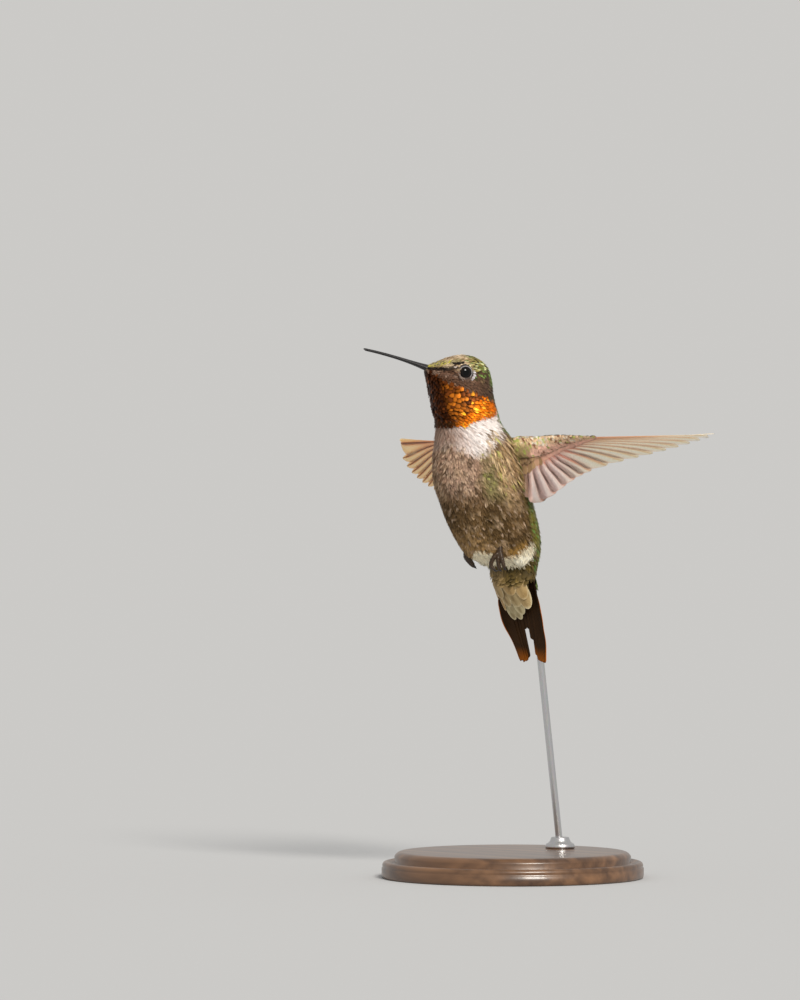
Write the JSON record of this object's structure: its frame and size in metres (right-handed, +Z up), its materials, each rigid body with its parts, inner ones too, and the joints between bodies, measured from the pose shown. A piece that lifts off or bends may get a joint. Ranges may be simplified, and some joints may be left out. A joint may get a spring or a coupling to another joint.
{
  "type": "ruby-throated hummingbird",
  "caption": "Life-size still model of an adult male ruby-throated hummingbird hovering with spread wings and fiery throat, held by a thin rod on a round wooden display base",
  "frame": {"origin": "centre of the underside of the round stand base, on the surface it stands on", "axes": "+Z up; the bird's body faces -Y and its head is turned 30 degrees towards -X; its left wing points to +X, its right wing to -X, both swept back towards +Y"},
  "size_m": [0.0997, 0.066, 0.121],
  "materials": {
    "head_plumage": "bronze-green scale feathers, dark brown cheek",
    "gorget": "iridescent throat scales, fiery orange to black",
    "breast_plumage": "soft white and grey feathers",
    "belly_plumage": "mottled grey-brown and olive feathers",
    "back_plumage": "bronze-green iridescent feathers",
    "white_tufts": "fluffy white down",
    "undertail": "grey-brown feathers with pale edges",
    "wing_coverts": "small green and buff scale feathers",
    "flight_feathers": "thin translucent brown-pink vanes with dark shafts",
    "tail_feathers": "black-brown vanes with faint gloss",
    "bill_horn": "smooth black horn, satin",
    "eye_gloss": "wet dark brown-black",
    "foot_skin": "fine scales, dull black-brown",
    "stand_wood": "turned walnut, satin varnish",
    "stand_steel": "fine brushed steel"
  },
  "bodies": {
    "root": {"rump": "back_plumage", "belly": "belly_plumage", "breast": "breast_plumage", "neck": "gorget", "head": "head_plumage", "bill_upper": "bill_horn", "bill_lower": "bill_horn", "undertail_coverts": "undertail", "eye_left": "eye_gloss", "thigh_left": "white_tufts", "foot_left": "foot_skin", "wing_left_arm": "wing_coverts", "wing_left_secondaries": "flight_feathers", "wing_left_primary_1": "flight_feathers", "wing_left_primary_2": "flight_feathers", "wing_left_primary_3": "flight_feathers", "wing_left_primary_4": "flight_feathers", "wing_left_primary_5": "flight_feathers", "wing_left_primary_6": "flight_feathers", "wing_left_primary_7": "flight_feathers", "wing_left_primary_8": "flight_feathers", "wing_left_primary_9": "flight_feathers", "wing_left_primary_10": "flight_feathers", "tail_left_1": "tail_feathers", "tail_left_2": "tail_feathers", "tail_left_3": "tail_feathers", "tail_left_4": "tail_feathers", "tail_left_5": "tail_feathers", "eye_right": "eye_gloss", "thigh_right": "white_tufts", "foot_right": "foot_skin", "wing_right_arm": "wing_coverts", "wing_right_secondaries": "flight_feathers", "wing_right_primary_1": "flight_feathers", "wing_right_primary_2": "flight_feathers", "wing_right_primary_3": "flight_feathers", "wing_right_primary_4": "flight_feathers", "wing_right_primary_5": "flight_feathers", "wing_right_primary_6": "flight_feathers", "wing_right_primary_7": "flight_feathers", "wing_right_primary_8": "flight_feathers", "wing_right_primary_9": "flight_feathers", "wing_right_primary_10": "flight_feathers", "tail_right_1": "tail_feathers", "tail_right_2": "tail_feathers", "tail_right_3": "tail_feathers", "tail_right_4": "tail_feathers", "tail_right_5": "tail_feathers", "stand_base": "stand_wood", "stand_collar": "stand_steel", "stand_rod": "stand_steel"}
  },
  "joints": []
}
